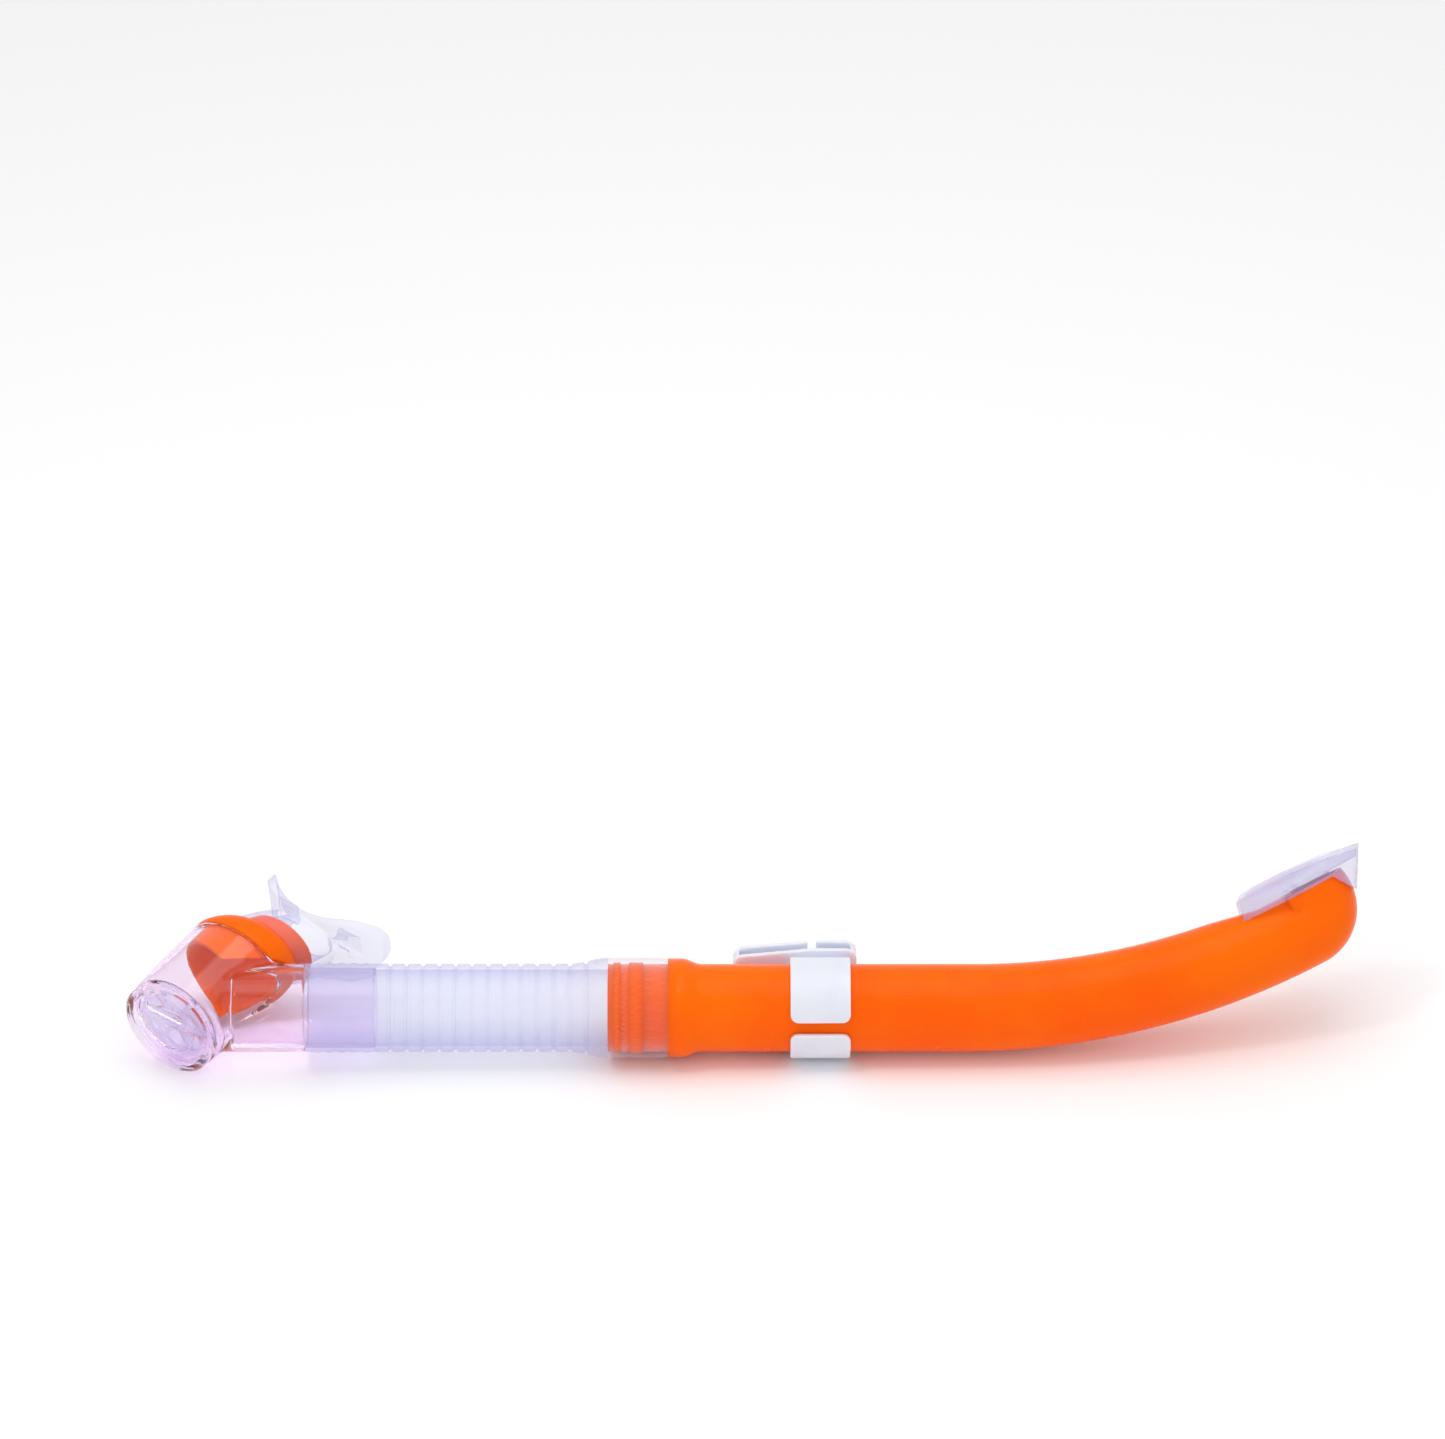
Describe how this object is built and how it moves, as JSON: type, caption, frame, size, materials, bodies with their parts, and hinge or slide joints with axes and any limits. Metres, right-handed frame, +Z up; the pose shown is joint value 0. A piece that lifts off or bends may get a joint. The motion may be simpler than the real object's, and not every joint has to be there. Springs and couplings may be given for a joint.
{
  "type": "snorkel",
  "caption": "Swimming snorkel: curved plastic barrel with a splash guard, flexible silicone hose, valve chamber with a purge valve, bite mouthpiece and a strap keeper clip.",
  "frame": {"origin": "middle of the underside of the bounding box of the snorkel as it lies on a table", "axes": "+X along the hose and the barrel from the mouthpiece end to the open end, +Z up off the table, +Y to the back; the barrel's curve rises towards +Y and +Z"},
  "size_m": [0.4194, 0.0826, 0.0656],
  "materials": {
    "orange_plastic": "glossy moulded plastic, slightly translucent",
    "clear_plastic": "clear moulded plastic",
    "clear_silicone": "clear silicone with a satin surface",
    "keeper_plastic": "milky semi-clear plastic"
  },
  "bodies": {
    "barrel": {"barrel_tube": "orange_plastic", "splash_guard": "clear_plastic"},
    "hose": {"flex_hose": "clear_silicone"},
    "chamber": {"valve_chamber": "clear_plastic", "mouth_collar": "orange_plastic", "mouthpiece": "clear_silicone", "purge_seat": "clear_plastic", "purge_cover": "clear_plastic"},
    "purge": {"purge_membrane": "clear_silicone"},
    "keeper": {"strap_keeper": "keeper_plastic"}
  },
  "joints": [
    {"name": "hose_bend", "type": "hinge", "parent": "barrel", "child": "hose", "pos_m": [-0.08536, -0.02033, 0.01836], "axis": [-0.005, 0.8508, -0.5254], "range_deg": [-20, 60], "stiffness_Nm_per_rad": 1.5, "deforming": ["flex_hose"]},
    {"name": "chamber_swivel", "type": "hinge", "parent": "hose", "child": "chamber", "pos_m": [-0.14886, -0.02033, 0.01897], "axis": [1, 0, -0.0096], "continuous": true},
    {"name": "purge_lift", "type": "slide", "parent": "chamber", "child": "purge", "axis": [-0.568, -0.8073, -0.1603], "range_m": [0, 0.002], "stiffness_N_per_m": 40},
    {"name": "keeper_slide", "type": "slide", "parent": "barrel", "child": "keeper", "axis": [1, 0, -0.0096], "range_m": [-0.01, 0.036]}
  ]
}
